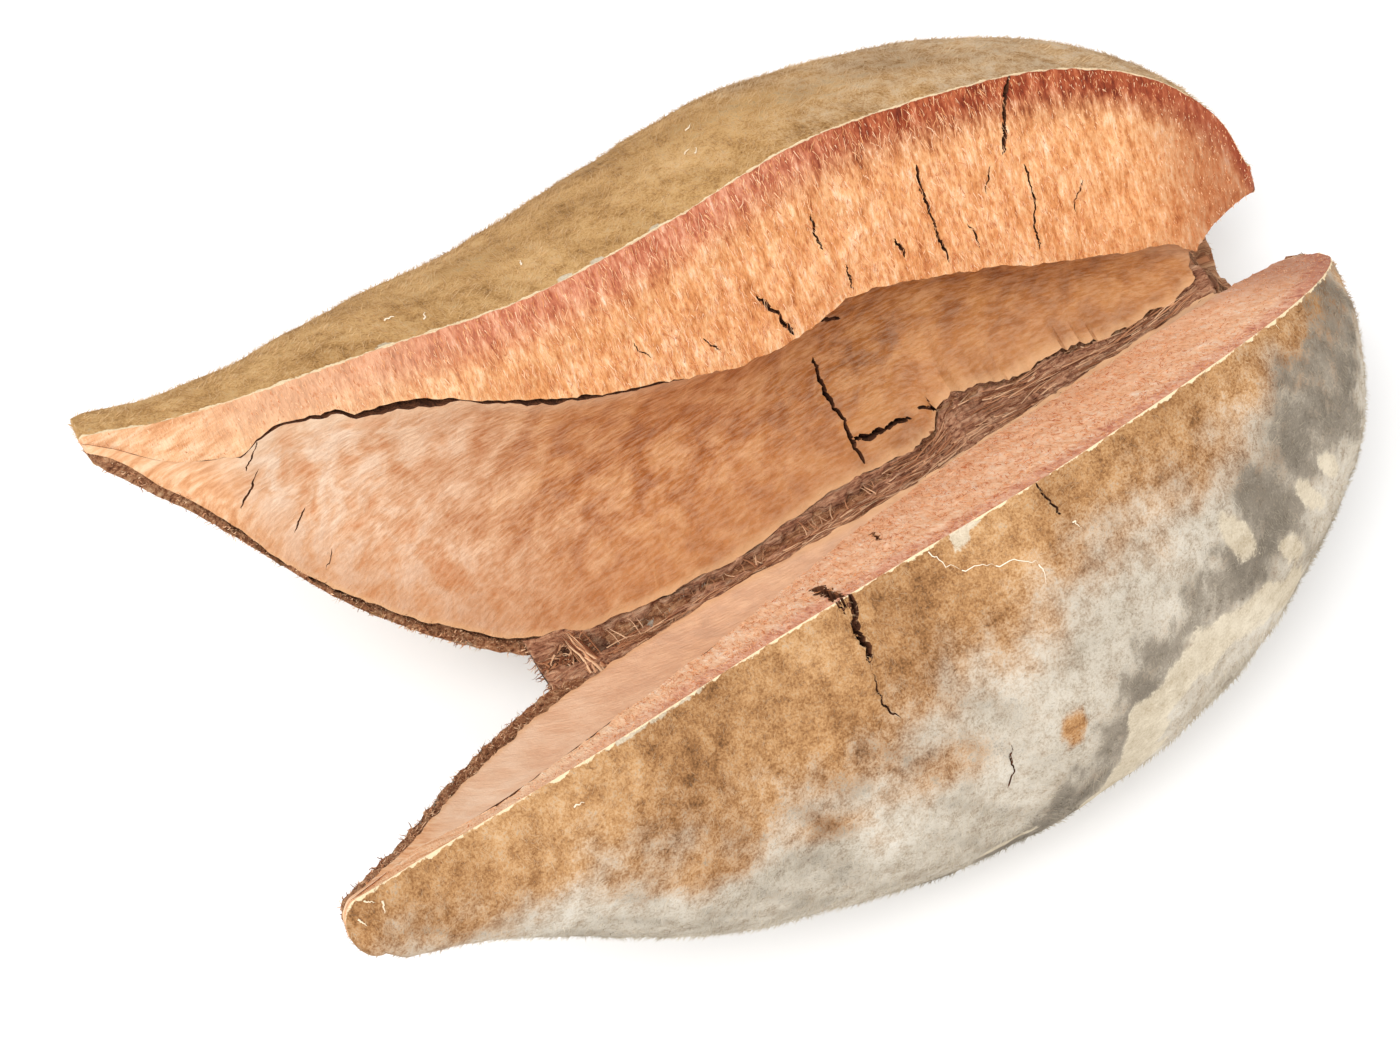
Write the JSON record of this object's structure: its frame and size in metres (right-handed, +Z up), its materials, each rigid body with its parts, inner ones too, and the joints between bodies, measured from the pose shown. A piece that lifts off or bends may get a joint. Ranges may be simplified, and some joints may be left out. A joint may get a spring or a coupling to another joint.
{
  "type": "woody pear",
  "caption": "Opened dry woody pear seed case: two thick wooden valves gape on a torn hinge, each with a pale lined seed hollow and a felted outside.",
  "frame": {"origin": "centre of the bounding box at the surface that the fruit rests on", "axes": "+X along the hinge towards the stalk end, +Y towards the valve with the wider hollow, +Z up out of the gap between the valves"},
  "size_m": [0.081, 0.0564, 0.04],
  "materials": {
    "weathered_wood": "matte, felted"
  },
  "bodies": {
    "root": {"woody_pear": "weathered_wood"}
  },
  "joints": []
}
